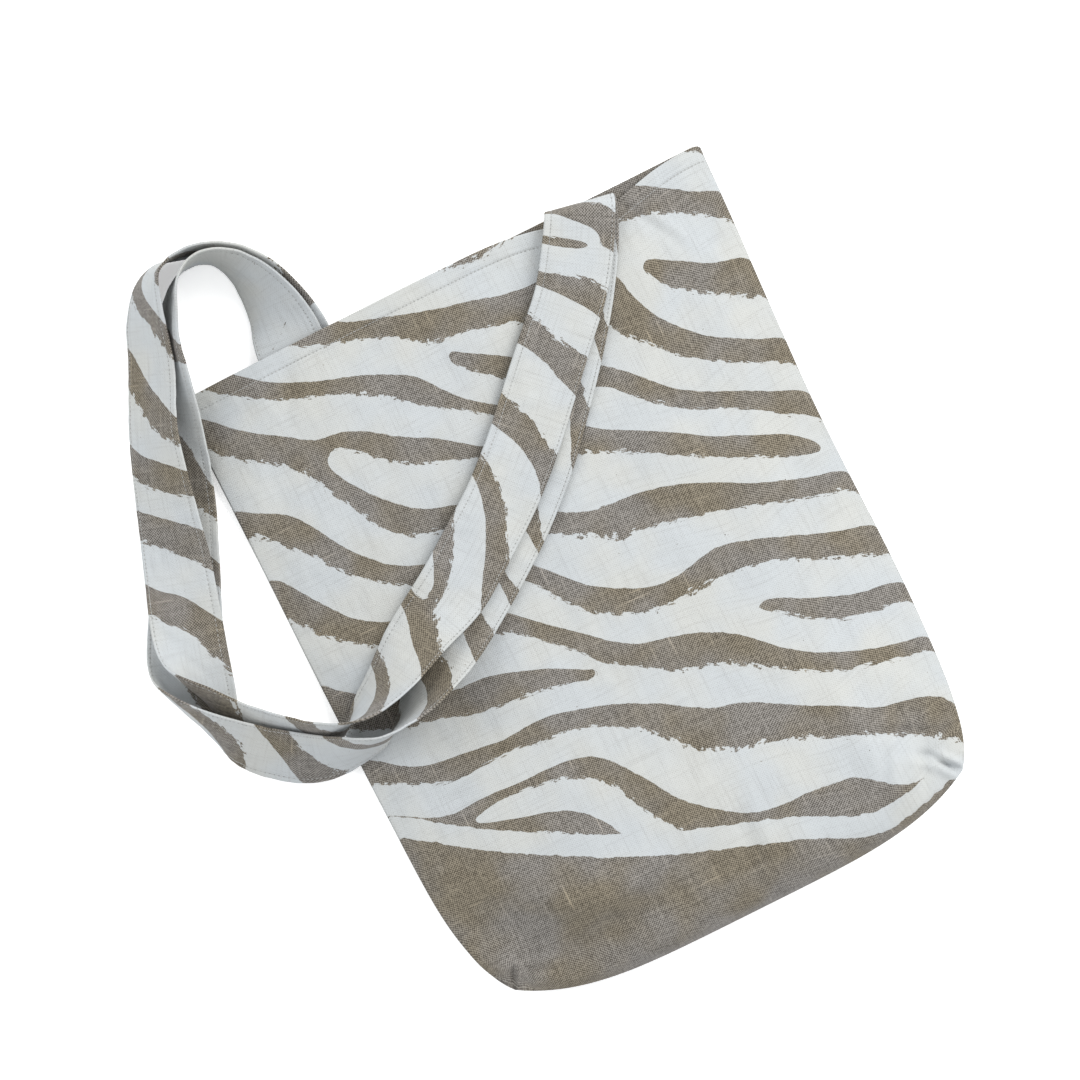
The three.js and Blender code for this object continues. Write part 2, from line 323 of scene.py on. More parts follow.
def ripple(x, y, size, seed):
    """A soft random field of about -1 to 1 whose swells are about one size across."""
    waves = 28
    random = np.random.default_rng(seed)
    turn = random.uniform(0, 2 * math.pi, waves)
    phase = random.uniform(0, 2 * math.pi, waves)
    pace = 2 * math.pi / size * random.uniform(0.6, 1.3, waves)
    field = np.zeros(np.broadcast(x, y).shape)
    for t, p, k in zip(turn, phase, pace):
        field += np.cos(k * (x * math.cos(t) + y * math.sin(t)) + p)
    return field / math.sqrt(waves)


def fold_rise(folds, x, y):
    """Height that a table of folds adds at a place."""
    rise = np.zeros(np.shape(x))
    for fx, fy, turn, long, wide, high in zip(*folds.values()):
        c, s = math.cos(math.radians(turn)), math.sin(math.radians(turn))
        along = (x - fx) * c + (y - fy) * s
        aside = (y - fy) * c - (x - fx) * s
        rise += high * np.exp(-(along / long) ** 2 - (aside / wide) ** 2)
    return rise


def row_line(across, at):
    """Place along Y of a row of the body: straight at the mouth, bowed out at the base."""
    edge = np.where(across < 0, section("edge_left", at), section("edge_right", at))
    line = edge + (section("mid", at) - edge) * (1 - np.abs(across) ** BASE_BOW)
    corner = np.clip((np.abs(across) - 1 + CORNER_ROUND) / CORNER_ROUND, 0, 1)
    return line - CORNER_DROP * (1 - np.sqrt(1 - corner ** 2)) * np.clip(1 - at / CORNER_ROWS, 0, 1)


def seam_span(across, at):
    """Place along X between the side seams."""
    left, right = section("left", at), section("right", at)
    return (left + right) / 2 + across * (right - left) / 2


def front_places(across, at):
    """Outer surface of the front, across from -1 (left seam) to 1 (right seam), in millimetres."""
    x = seam_span(across, at)
    y = row_line(across, at)
    pull = bell(x - MOUTH_DIP["x"], MOUTH_DIP["wide"])
    near_mouth = np.maximum(0, 1 - (SECTIONS["mid"][0] - y) / MOUTH_DIP["reach"])
    y = y - MOUTH_DIP["deep"] * pull * near_mouth
    dome = np.maximum(0, 1 - np.abs(across) ** CROWN_POWER) ** CROWN_ROUND
    stand = section("crown", at) - section("seam", at)
    loose = dome * np.minimum(1, np.maximum(0, stand) / LOOSE_STAND)
    z = section("seam", at) + GAP / 2 + dome * stand + fold_rise(FOLDS, x, y) * loose
    return np.stack([x, y, z], -1)


def back_places(across, at):
    """Outer surface of the back, flat on the floor and turned up to the seams, in millimetres."""
    seam = section("seam", at)
    sole = np.maximum(0, section("sole", at))
    turn = np.maximum(0, (np.abs(across) - FLAT_SHARE) / (1 - FLAT_SHARE))
    curl = 1 - np.sqrt(np.maximum(0, 1 - turn ** 3))
    lowered = GAP / 2 * np.maximum(curl, sole / seam)
    z = np.maximum(0, sole + (seam - sole) * curl - lowered)
    return np.stack([seam_span(across, at), row_line(across, at), z], -1)


def normals_up(places):
    """Unit normals of a grid of places, turned to +Z."""
    down = np.gradient(places, axis=0)
    over = np.gradient(places, axis=1)
    normal = np.cross(over, down)
    normal /= np.maximum(np.linalg.norm(normal, axis=-1, keepdims=True), 1e-12)
    return normal * np.where(normal[..., 2:] < 0, -1, 1)


def cloth_lengths(places):
    """Lengths along the cloth, across from the middle column and down from the first row."""
    over = np.linalg.norm(np.diff(places, axis=1), axis=-1)
    down = np.linalg.norm(np.diff(places, axis=0), axis=-1)
    u = np.concatenate([np.zeros((len(places), 1)), np.cumsum(over, axis=1)], axis=1)
    v = np.concatenate([np.zeros((1, places.shape[1])), np.cumsum(down, axis=0)], axis=0)
    return u - u[:, places.shape[1] // 2][:, None], -v


def run_length(line):
    """Length along a line of places, from its first one."""
    return np.concatenate([[0], np.cumsum(np.linalg.norm(np.diff(line, axis=0), axis=-1))])


def part_way(marks, length, values):
    """Values of a line, such as places, at marks along its length."""
    return np.stack([np.interp(marks, length, values[:, k]) for k in range(3)], -1)


def unit(vectors):
    return vectors / np.linalg.norm(vectors, axis=-1, keepdims=True)


def even_rows(count, fine, fine_length):
    """Fractional rows from mouth to base, some finer ones in the hem and closer ones at the base."""
    at = np.linspace(0, len(SECTIONS["mid"]) - 1, ROW_SAMPLES)
    line = np.stack([section("mid", at), section("crown", at)], -1)
    length = run_length(line)
    steps = np.linspace(0, 1, count - fine + 1)
    steps = fine_length + (length[-1] - fine_length) * (1 - (1 - steps) * (1 - BASE_CROWDING * steps ** 3))
    steps = np.concatenate([np.linspace(0, fine_length, fine, endpoint=False), steps])
    return np.interp(steps, length, at)


def even_columns(count, seam_share):
    """Places across from -1 to 1, closer together near the seams."""
    t = np.linspace(-1, 1, count + 1)
    return (1 - seam_share) * t + seam_share * np.sin(t * math.pi / 2)


# Meshes

def make_piece(name, places, faces, cloth, materials, slots=None):
    """An object from places in metres, quads, a length on the cloth for each place and its materials."""
    mesh = bpy.data.meshes.new(name)
    mesh.from_pydata(places.tolist(), [], faces.tolist())
    layer = mesh.uv_layers.new(name="cloth")
    corners = np.zeros(len(mesh.loops), np.int32)
    mesh.loops.foreach_get("vertex_index", corners)
    layer.data.foreach_set("uv", cloth[corners].astype(np.float32).ravel())
    for material in materials:
        mesh.materials.append(material)
    if slots is not None:
        mesh.polygons.foreach_set("material_index", slots.astype(np.int32))
    mesh.shade_smooth()
    mesh.update()
    piece = bpy.data.objects.new(name, mesh)
    bpy.context.scene.collection.objects.link(piece)
    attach(piece, "root")
    return piece


def grid_quads(rows, columns, start=0):
    """Quads over a grid of places that are listed row by row."""
    index = start + np.arange(rows * columns).reshape(rows, columns)
    quads = np.stack([index[:-1, :-1], index[1:, :-1], index[1:, 1:], index[:-1, 1:]], -1)
    return quads.reshape(-1, 4)


def folded_sheet(outer, inner, bulge):
    """Places and quads of a closed sheet: outer rows from base to mouth, a round rim, inner rows back.

    The first row of both grids is the mouth. bulge is how far the rim stands out.
    """
    centre = (outer[0] + inner[0]) / 2
    half = (outer[0] - inner[0]) / 2
    out = unit(outer[0] - outer[1])
    turns = [math.pi * k / RIM_STEPS for k in range(1, RIM_STEPS)]
    lip = [centre + half * math.cos(t) + out * (bulge * math.sin(t)) for t in turns]
    rows = np.concatenate([outer[::-1], np.array(lip), inner])
    count, columns = rows.shape[:2]
    quads = [grid_quads(count, columns)]
    first = np.arange(count // 2) * columns
    other = (count - 1 - np.arange(count // 2)) * columns
    for side, flip in ((0, False), (columns - 1, True)):
        a, b = first + side, other + side
        strip = np.stack([a[:-1], b[:-1], b[1:], a[1:]], -1)
        quads.append(strip[:, ::-1] if flip else strip)
    base = np.stack([np.arange(columns - 1), np.arange(1, columns)], -1)
    last = (count - 1) * columns + base
    quads.append(np.stack([base[:, 0], base[:, 1], last[:, 1], last[:, 0]], -1))
    return rows.reshape(-1, 3), np.concatenate(quads), len(outer), len(lip)


def flip_if_inside_out(places, quads):
    """Turns all quads over if the closed body they make has its faces pointing in."""
    a, b, c, d = (places[quads[:, k]] for k in range(4))
    volume = np.einsum("ij,ij->", a, np.cross(b, c)) + np.einsum("ij,ij->", a, np.cross(c, d))
    return quads[:, ::-1] if volume < 0 else quads


def panel_piece(name, outer, up, thick, materials):
    """A cloth panel of one layer under or over its outer surface, printed outside and plain inside."""
    normal = normals_up(outer)
    inner = outer + normal * (thick if up else -thick)
    middle = (outer[:, :1, 2] + outer[:, -1:, 2]) / 2
    high = outer[..., 2]
    if up:
        limit = np.maximum(middle - GAP / 2 * MM, high + LEAST_CLOTH * MM)
        inner[..., 2] = np.minimum(inner[..., 2], limit)
    else:
        limit = np.minimum(middle + GAP / 2 * MM, high - LEAST_CLOTH * MM)
        inner[..., 2] = np.maximum(inner[..., 2], limit)
    places, quads, rows, lip = folded_sheet(outer, inner, 0.5 * thick)
    ring = np.stack(cloth_lengths(outer), -1)
    cloth = np.concatenate([ring[::-1], np.repeat(ring[:1], lip, 0), ring]).reshape(-1, 2)
    columns = outer.shape[1]
    quads = flip_if_inside_out(places, quads)
    slots = (quads.min(1) >= (rows + lip) * columns).astype(int)
    return make_piece(name, places, quads, cloth, materials, slots)


# Node trees

def add_node(tree, kind, inputs=(), **settings):
    """A node with its settings, whose inputs are values or sockets to link, by place or by name."""
    made = tree.nodes.new(kind)
    for key, value in settings.items():
        setattr(made, key, value)
    for key, value in (inputs.items() if isinstance(inputs, dict) else enumerate(inputs)):
        if isinstance(value, bpy.types.NodeSocket):
            tree.links.new(value, made.inputs[key])
        elif value is not None:
            made.inputs[key].default_value = value
    return made


def calc(tree, operation, *inputs):
    return add_node(tree, "ShaderNodeMath", inputs, operation=operation).outputs[0]


def noise(tree, vector, scale, detail=2.0, rough=0.5):
    inputs = {"Vector": vector, "Scale": scale, "Detail": detail, "Roughness": rough}
    return add_node(tree, "ShaderNodeTexNoise", inputs).outputs["Fac"]


def noise_vector(tree, vector, scale):
    """Three soft random values at a time."""
    inputs = {"Vector": vector, "Scale": scale, "Detail": 1}
    return add_node(tree, "ShaderNodeTexNoise", inputs).outputs["Color"]


def weighted(tree, pairs):
    """Sum of values, each times its share."""
    total, *others = [calc(tree, "MULTIPLY", value, share) for value, share in pairs]
    for part in others:
        total = calc(tree, "ADD", total, part)
    return total


def vector_calc(tree, operation, inputs):
    return add_node(tree, "ShaderNodeVectorMath", inputs, operation=operation).outputs[0]


def parts_of(tree, vector):
    return add_node(tree, "ShaderNodeSeparateXYZ", [vector]).outputs


def stretch(tree, vector, x, y):
    """The same vector with its X and Y scaled."""
    return vector_calc(tree, "MULTIPLY", {0: vector, 1: (x, y, 1)})


def fade(tree, value, low, high):
    """0 below low, 1 above high and smooth between."""
    inputs = {"Value": value, "From Min": low, "From Max": high}
    return add_node(tree, "ShaderNodeMapRange", inputs, interpolation_type="SMOOTHSTEP").outputs[0]


def scaled(tree, value, low, high):
    """A 0 to 1 value brought between two others."""
    inputs = {"Value": value, "To Min": low, "To Max": high}
    return add_node(tree, "ShaderNodeMapRange", inputs).outputs[0]


MIX_FACTOR, MIX_A, MIX_B, MIX_RESULT = 0, 6, 7, 2


def mix_colours(tree, factor, a, b, blend="MIX"):
    """Colour a where the factor is 0, and b where it is 1."""
    inputs = {MIX_FACTOR: factor, MIX_A: a, MIX_B: b}
    return add_node(tree, "ShaderNodeMix", inputs, data_type="RGBA", blend_type=blend).outputs[MIX_RESULT]


def new_group(name, inputs, outputs):
    """An empty shader group with named sockets, and its input and output nodes."""
    group = bpy.data.node_groups.new(name, "ShaderNodeTree")
    for label, kind, value in inputs:
        socket = group.interface.new_socket(label, in_out="INPUT", socket_type=kind)
        if value is not None:
            socket.default_value = value
    for label, kind in outputs:
        group.interface.new_socket(label, in_out="OUTPUT", socket_type=kind)
    return group, group.nodes.new("NodeGroupInput").outputs, group.nodes.new("NodeGroupOutput").inputs


FLOAT, VECTOR, COLOUR = "NodeSocketFloat", "NodeSocketVector", "NodeSocketColor"

# Weave: sway of the threads, scales of slubs, shares in height and tone, and ranges of the noise shown
SWAY_SCALE, SWAY = 70, 1.6 * MM
SLUB_SCALES = ((26, 620), (620, 26))
HEIGHT_SHARES, TONE_SHARES = (0.3, 0.4, 0.15), (0.62, 0.22, 0.16)
SLUB_RANGE, FAINT_RANGE, PALE_RANGE = (0.3, 0.72), (0.52, 0.2), (0.71, 0.8)
# Strokes of paint: bends, swelling, bristle marks, reach of both edges and bare flecks
BEND_SCALE, BEND = 4.2, 0.17
SWELL_SCALE, SWELL = 13, 0.75
BRISTLES_ALONG, BRISTLES_ASIDE = 130, 13
DRY_SIDE, DRY_REACH, PAINT_EDGE = (0.42, 0.58), (2.5 * MM, 15 * MM), 0.2 * MM
FLECK_SCALES, FLECK_RANGE = (150, 260), (0.745, 0.765)
# Stroke along the plain base: where it starts on the cloth, its slant and curve, width and ragged edge
BASE_EDGE, BASE_SLANT, BASE_CURVE = -0.425, 0.36, -2.4
BASE_STROKE, BASE_SHARP = (17 * MM, 16.6 * MM), 0.5 * MM
RAGGED_NOISE, RAGGED = (120, 3, 0.6), 5 * MM
# Soft patches of random tone, shifted so that a darker warm patch on the base is painted shade; worn paint,
# slubs, and needle holes darkened with painted shade: place, range, how much shows and tint
TONE_AND_SHADE_PATCH_SHIFT, TONE_AND_SHADE_PATCH_NOISE, TONE_AND_SHADE_PATCH_RANGE = (-0.028, 0.044, 0), (17, 2, 0.55), (0.36, 0.66)
# The warm linen tint of the patches is random tone, and on the base it is painted shade of the folds
WHITE, WARM_LINEN_TONE_AND_SHADE = (1, 1, 1, 1), rgba(243, 235, 215)
COOL_PAINT, WARM_PAINT = rgba(249, 251, 254), rgba(255, 253, 249)
TONE_RANGE, WORN_RANGE = (0.18, 0.82), (0.42, 0.1)
WORN_THREADS, WORN_SHOWN = 0.42, 0.7
SLUB_COLOUR, SLUB_SHOWN = rgba(196, 188, 177), 0.38
# Needle holes get a dark colour that is painted shade inside the holes
HOLE_SHADE_COLOUR, HOLE_SHADE_SHOWN, HOLE_EDGE = rgba(58, 52, 46), 0.6, (0.6 * MM, 0.3 * MM)
# Where nearly all is painted: length over which it sets in, and how much less is left bare
PAINTED_FADE, PAINTED_SHARE = 0.03, 0.45
# Sewing thread: scales and range of its twist, and its shade
TWIST_SCALES, TWIST_RANGE, TWIST_SHADE = (900, 500), (0.3, 0.7), 0.7
LINEN_ROUGH, PAINT_ROUGH, THREAD_ROUGH, FLOOR_ROUGH = 0.95, 0.82, 0.75, 0.9
LINEN_GLOSS = {"Specular IOR Level": 0.2, "Sheen Weight": 0.12, "Sheen Roughness": 0.5}
WEAVE_BUMP = {"Strength": 0.6, "Distance": 0.3 * MM}
THREAD_BUMP = {"Strength": 0.4, "Distance": 0.1 * MM}
# Prints: turn of the strokes, shift along the cloth, bare share, and where nearly all is painted
FRONT_PRINT = (0.5, (0.0, 0.0, 0), 0.4, 1.0)
BACK_PRINT = (-0.4, (0.9, 0.3, 0), 0.4, 1.0)
FRONT_STRAP_PRINT = (0.75, (0.31, -0.62, 0), 0.38, 0.82)
BACK_STRAP_PRINT = (0.62, (-0.13, -0.4, 0), 0.42, 1.5)


def weave_group(name):
    """Plain weave of uneven threads: height, tone of the crossings, faint threads and light slubs."""
    tree, given, out = new_group(
        name,
        [("Cloth", VECTOR, None), ("Thread pitch", FLOAT, 0.9 * MM)],
        [("Height", FLOAT), ("Tone", FLOAT), ("Threads", FLOAT), ("Slubs", FLOAT)],
    )
    cloth = given["Cloth"]
    sway = vector_calc(tree, "SCALE", {0: noise_vector(tree, cloth, SWAY_SCALE), "Scale": SWAY})
    swayed = vector_calc(tree, "ADD", {0: cloth, 1: sway})
    pace = calc(tree, "DIVIDE", 1, given["Thread pitch"])
    counted = vector_calc(tree, "SCALE", {0: swayed, "Scale": pace})
    cell = vector_calc(tree, "FLOOR", {0: counted})
    grain = add_node(tree, "ShaderNodeTexWhiteNoise", {"Vector": cell}, noise_dimensions="2D")
    grain = grain.outputs["Value"]
    part = parts_of(tree, counted)
    turns = [calc(tree, "MULTIPLY", part[axis], math.pi) for axis in (0, 1)]
    warp, weft = (calc(tree, "ABSOLUTE", calc(tree, "SINE", turn)) for turn in turns)
    threads = calc(tree, "ADD", warp, weft)
    over = calc(tree, "MULTIPLY", *(calc(tree, "COSINE", turn) for turn in turns))
    over = calc(tree, "ADD", calc(tree, "MULTIPLY", over, 0.5), 0.5)
    slubs = [noise(tree, stretch(tree, cloth, *pair), 1, 1) for pair in SLUB_SCALES]
    slub = fade(tree, calc(tree, "MULTIPLY", calc(tree, "ADD", *slubs), 0.5), *SLUB_RANGE)
    tree.links.new(weighted(tree, zip((threads, over, grain), HEIGHT_SHARES)), out["Height"])
    tree.links.new(weighted(tree, zip((over, grain, slub), TONE_SHARES)), out["Tone"])
    tree.links.new(fade(tree, calc(tree, "MINIMUM", *slubs), *FAINT_RANGE), out["Threads"])
    tree.links.new(fade(tree, calc(tree, "MAXIMUM", *slubs), *PALE_RANGE), out["Slubs"])
    return tree


def stripes_group(name):
    """Brushed strokes of paint with forks, swelling and dry edges: 1 where the cloth is painted."""
    tree, given, out = new_group(
        name,
        [("Cloth", VECTOR, None), ("Period", FLOAT, 34 * MM), ("Turn", FLOAT, 0.0),
         ("Bare share", FLOAT, 0.4)],
        [("Paint", FLOAT)],
    )
    cloth, period = given["Cloth"], given["Period"]
    bend = noise_vector(tree, cloth, BEND_SCALE)
    bend = vector_calc(tree, "SUBTRACT", {0: bend, 1: (0.5, 0.5, 0.5)})
    bend = vector_calc(tree, "SCALE", {0: bend, "Scale": BEND})
    bent = vector_calc(tree, "ADD", {0: cloth, 1: bend})
    turned = add_node(tree, "ShaderNodeVectorRotate", {"Vector": bent, "Angle": given["Turn"]},
                      rotation_type="Z_AXIS").outputs[0]
    turned = parts_of(tree, turned)
    phase = calc(tree, "DIVIDE", turned[1], period)
    flat = parts_of(tree, bent)
    for x, y, turns in zip(*FORKS.values()):
        away = [calc(tree, "SUBTRACT", flat[1], y), calc(tree, "SUBTRACT", flat[0], x)]
        angle = calc(tree, "ARCTAN2", *away)
        phase = calc(tree, "ADD", phase, calc(tree, "MULTIPLY", angle, turns / (2 * math.pi)))
    from_middle = calc(tree, "MULTIPLY", calc(tree, "PINGPONG", phase, 0.5), 2)
    swell = calc(tree, "SUBTRACT", noise(tree, cloth, SWELL_SCALE, 1), 0.5)
    bare = calc(tree, "ADD", given["Bare share"], calc(tree, "MULTIPLY", swell, SWELL))
    edge = calc(tree, "SUBTRACT", from_middle, bare)
    edge = calc(tree, "MULTIPLY", edge, calc(tree, "MULTIPLY", period, 0.5))
    side = fade(tree, calc(tree, "FRACT", phase), *DRY_SIDE)
    along = add_node(tree, "ShaderNodeCombineXYZ", [
        calc(tree, "MULTIPLY", turned[0], BRISTLES_ALONG),
        calc(tree, "MULTIPLY", phase, BRISTLES_ASIDE),
    ]).outputs[0]
    dry = calc(tree, "SUBTRACT", noise(tree, along, 1, 3, 0.72), 0.5)
    dry = calc(tree, "MULTIPLY", dry, scaled(tree, side, *DRY_REACH))
    paint = fade(tree, calc(tree, "ADD", edge, dry), -PAINT_EDGE, PAINT_EDGE)
    flecks = fade(tree, noise(tree, stretch(tree, cloth, *FLECK_SCALES), 1, 2, 0.65), *FLECK_RANGE)
    tree.links.new(calc(tree, "MULTIPLY", paint, calc(tree, "SUBTRACT", 1, flecks)), out["Paint"])
    return tree


def needle_group(name):
    """Small round needle holes along a row of stitches."""
    tree, given, out = new_group(
        name,
        [("Along", FLOAT, 0.0), ("Aside", FLOAT, 0.0), ("Pitch", FLOAT, 2.8 * MM)],
        [("Hole", FLOAT)],
    )
    step = calc(tree, "PINGPONG", given["Along"], calc(tree, "MULTIPLY", given["Pitch"], 0.5))
    far = calc(tree, "SQRT", weighted(tree, [(step, step), (given["Aside"], given["Aside"])]))
    tree.links.new(fade(tree, far, *HOLE_EDGE), out["Hole"])
    return tree


def finish_group(name):
    """Colour and roughness of linen under paint, with threads, soft patches of random tone that are partly
    painted shade, and needle holes darkened with painted shade.
    """
    tree, given, out = new_group(
        name,
        [("Cloth", VECTOR, None), ("Paint", FLOAT, 0.0), ("Tone", FLOAT, 0.5), ("Threads", FLOAT, 0.0),
         ("Slubs", FLOAT, 0.0), ("Hole", FLOAT, 0.0), ("Linen", COLOUR, None),
         ("Linen shade", COLOUR, None), ("Paint colour", COLOUR, None), ("Thin paint", COLOUR, None)],
        [("Colour", COLOUR), ("Roughness", FLOAT)],
    )
    # Soft patches of random tone, placed so that a darker warm patch lies on the base as painted shade
    moved = vector_calc(tree, "ADD", {0: given["Cloth"], 1: TONE_AND_SHADE_PATCH_SHIFT})
    tone_and_shade_patch = fade(tree, noise(tree, moved, *TONE_AND_SHADE_PATCH_NOISE), *TONE_AND_SHADE_PATCH_RANGE)
    tone = fade(tree, given["Tone"], *TONE_RANGE)
    linen = mix_colours(tree, tone, given["Linen shade"], given["Linen"])
    slubs = calc(tree, "MULTIPLY", given["Slubs"], SLUB_SHOWN)
    linen = mix_colours(tree, slubs, linen, SLUB_COLOUR)
    linen = mix_colours(tree, 1.0, linen, mix_colours(tree, tone_and_shade_patch, WHITE, WARM_LINEN_TONE_AND_SHADE), "MULTIPLY")
    worn = calc(tree, "MULTIPLY", given["Threads"], WORN_THREADS)
    worn = calc(tree, "ADD", worn, fade(tree, given["Tone"], *WORN_RANGE))
    worn = calc(tree, "MULTIPLY", worn, WORN_SHOWN)
    paint = mix_colours(tree, worn, given["Paint colour"], given["Thin paint"])
    paint = mix_colours(tree, 1.0, paint, mix_colours(tree, tone_and_shade_patch, COOL_PAINT, WARM_PAINT), "MULTIPLY")
    colour = mix_colours(tree, given["Paint"], linen, paint)
    # Painted shade in the needle holes
    hole = calc(tree, "MULTIPLY", given["Hole"], HOLE_SHADE_SHOWN)
    tree.links.new(mix_colours(tree, hole, colour, HOLE_SHADE_COLOUR), out["Colour"])
    tree.links.new(scaled(tree, given["Paint"], LINEN_ROUGH, PAINT_ROUGH), out["Roughness"])
    return tree


GROUPS = {
    "Linen weave": weave_group,
    "Brushed stripes": stripes_group,
    "Needle holes": needle_group,
    "Linen finish": finish_group,
}


def place_group(tree, name, inputs):
    """A node group in a material, which is built when it is first used."""
    group = bpy.data.node_groups.get(name) or GROUPS[name](name)
    return add_node(tree, "ShaderNodeGroup", inputs, node_tree=group).outputs


def new_material(name):
    """A material, its node tree and its shader."""
    material = bpy.data.materials.new(name)
    material.use_nodes = True
    return material, material.node_tree, material.node_tree.nodes["Principled BSDF"]


def linen_material(name, stripes=None, base_line=None, rows=()):
    """Linen of one finish, with a print, a plain base below a length on the cloth, and stitch rows.

    A stitch row is the axis that it crosses, its place there and the axis that it follows.
    """
    sizes = bpy.context.scene.tote_sizes
    colours = bpy.context.scene.tote_colours
    material, tree, shader = new_material(name)
    cloth = add_node(tree, "ShaderNodeUVMap", uv_map="cloth").outputs[0]
    part = parts_of(tree, cloth)
    weave = place_group(tree, "Linen weave", {"Cloth": cloth, "Thread pitch": sizes.thread_pitch})
    finish = {"Cloth": cloth, **{socket: weave[socket] for socket in ("Tone", "Threads", "Slubs")}}
    for socket, value in (("Linen", colours.linen), ("Linen shade", colours.linen_dark),
                          ("Paint colour", colours.paint), ("Thin paint", colours.paint_thin)):
        finish[socket] = (*value, 1)
    if stripes:
        turn, shift, bare, painted_from = stripes
        painted = fade(tree, part[1], painted_from, painted_from + PAINTED_FADE)
        bare = calc(tree, "SUBTRACT", bare, calc(tree, "MULTIPLY", painted, PAINTED_SHARE))
        moved = vector_calc(tree, "ADD", {0: cloth, 1: shift})
        paint = place_group(tree, "Brushed stripes", {
            "Cloth": moved, "Period": sizes.stripe_period, "Turn": turn, "Bare share": bare,
        })["Paint"]
        if base_line is not None:
            curve = calc(tree, "MULTIPLY", calc(tree, "MULTIPLY", part[0], part[0]), BASE_CURVE)
            slant = calc(tree, "MULTIPLY", calc(tree, "ADD", part[0], curve), BASE_SLANT)
            ragged = calc(tree, "SUBTRACT", noise(tree, cloth, *RAGGED_NOISE), 0.5)
            ragged = calc(tree, "MULTIPLY", ragged, RAGGED)
            over = calc(tree, "ADD", calc(tree, "ADD", part[1], slant), ragged)
            stroke = fade(tree, over, *(base_line + wide for wide in BASE_STROKE))
            paint = calc(tree, "MAXIMUM", paint, stroke)
            paint = calc(tree, "MULTIPLY", paint, fade(tree, over, base_line, base_line + BASE_SHARP))
        finish["Paint"] = paint
    hole = None
    for axis, place, along in rows:
        aside = calc(tree, "SUBTRACT", part[axis], place)
        made = place_group(tree, "Needle holes", {
            "Along": part[along], "Aside": aside, "Pitch": sizes.stitch_pitch})
        hole = made["Hole"] if hole is None else calc(tree, "MAXIMUM", hole, made["Hole"])
    if hole is not None:
        finish["Hole"] = hole
    made = place_group(tree, "Linen finish", finish)
    bump = add_node(tree, "ShaderNodeBump", {**WEAVE_BUMP, "Height": weave["Height"]})
    tree.links.new(made["Colour"], shader.inputs["Base Color"])
    if stripes:
        tree.links.new(made["Roughness"], shader.inputs["Roughness"])
    else:
        shader.inputs["Roughness"].default_value = LINEN_ROUGH
    tree.links.new(bump.outputs[0], shader.inputs["Normal"])
    for socket, value in LINEN_GLOSS.items():
        shader.inputs[socket].default_value = value
    return material


def thread_material():
    """Twisted sewing thread."""
    colours = bpy.context.scene.tote_colours
    material, tree, shader = new_material("sewing thread")
    cloth = add_node(tree, "ShaderNodeUVMap", uv_map="cloth").outputs[0]
    twist = noise(tree, stretch(tree, cloth, *TWIST_SCALES), 1, 2)
    shade = tuple(TWIST_SHADE * c for c in colours.thread)
    colour = mix_colours(tree, fade(tree, twist, *TWIST_RANGE), (*shade, 1), (*colours.thread, 1))
    bump = add_node(tree, "ShaderNodeBump", {**THREAD_BUMP, "Height": twist})
    tree.links.new(colour, shader.inputs["Base Color"])
    tree.links.new(bump.outputs[0], shader.inputs["Normal"])
    shader.inputs["Roughness"].default_value = THREAD_ROUGH
    return material


def named_material(name, make):
    return bpy.data.materials.get(name) or make()


def plain_linen():
    return named_material("plain linen", lambda: linen_material("plain linen"))


# Panels and hems

FRONT_COLUMNS, FRONT_ROWS, FRONT_HEM_ROWS = 176, 226, 22
BACK_COLUMNS, BACK_ROWS, BACK_HEM_ROWS = 96, 130, 14
HEM_COLUMNS, HEM_ROWS, HEM_SAMPLES = 160, 14, 400
HEM_REACH, HEM_SPAN = 16, 0.92
SEAM_CROWDING, HEM_CROWDING = 0.45, 0.4
HALF_WIDTH = 190
# How near the side seams, as a share of the half width, and the base seam, in rows, a rise dies away
FOLD_FADE, TUCK_FADE = (0.08, 0.5), (0.022, 0.14)
# Puckers of the side seams and of the hem: height, reach, size of a swell and seed
SIDE_PUCKER, HEM_PUCKER = (0.7, 11, 17, 6), (0.2, 6, 8, 7)
# Step down from the hem's double cloth, and the dip along its stitches: height and width
HEM_STEP, HEM_DIP = (0.22, 1.0), (0.4, 0.9)
# The back lifts off the floor towards its seams, and ripples there
BACK_LIFT, BACK_SIDE_FADE, BACK_BASE_ROWS, BACK_BASE_FADE = 3, 0.05, 0.3, 0.5
BACK_RIPPLE, BACK_RIPPLE_SIZE, BACK_RIPPLE_SEED = 0.6, 24, 11
# Soft ripples of the front: height, width of a swell, how far it is drawn out along Y, and its seed
RIPPLES = ((0.45, 70, 1, 3), (0.22, 28, 1, 4), (0.1, 11, 0.6, 5))


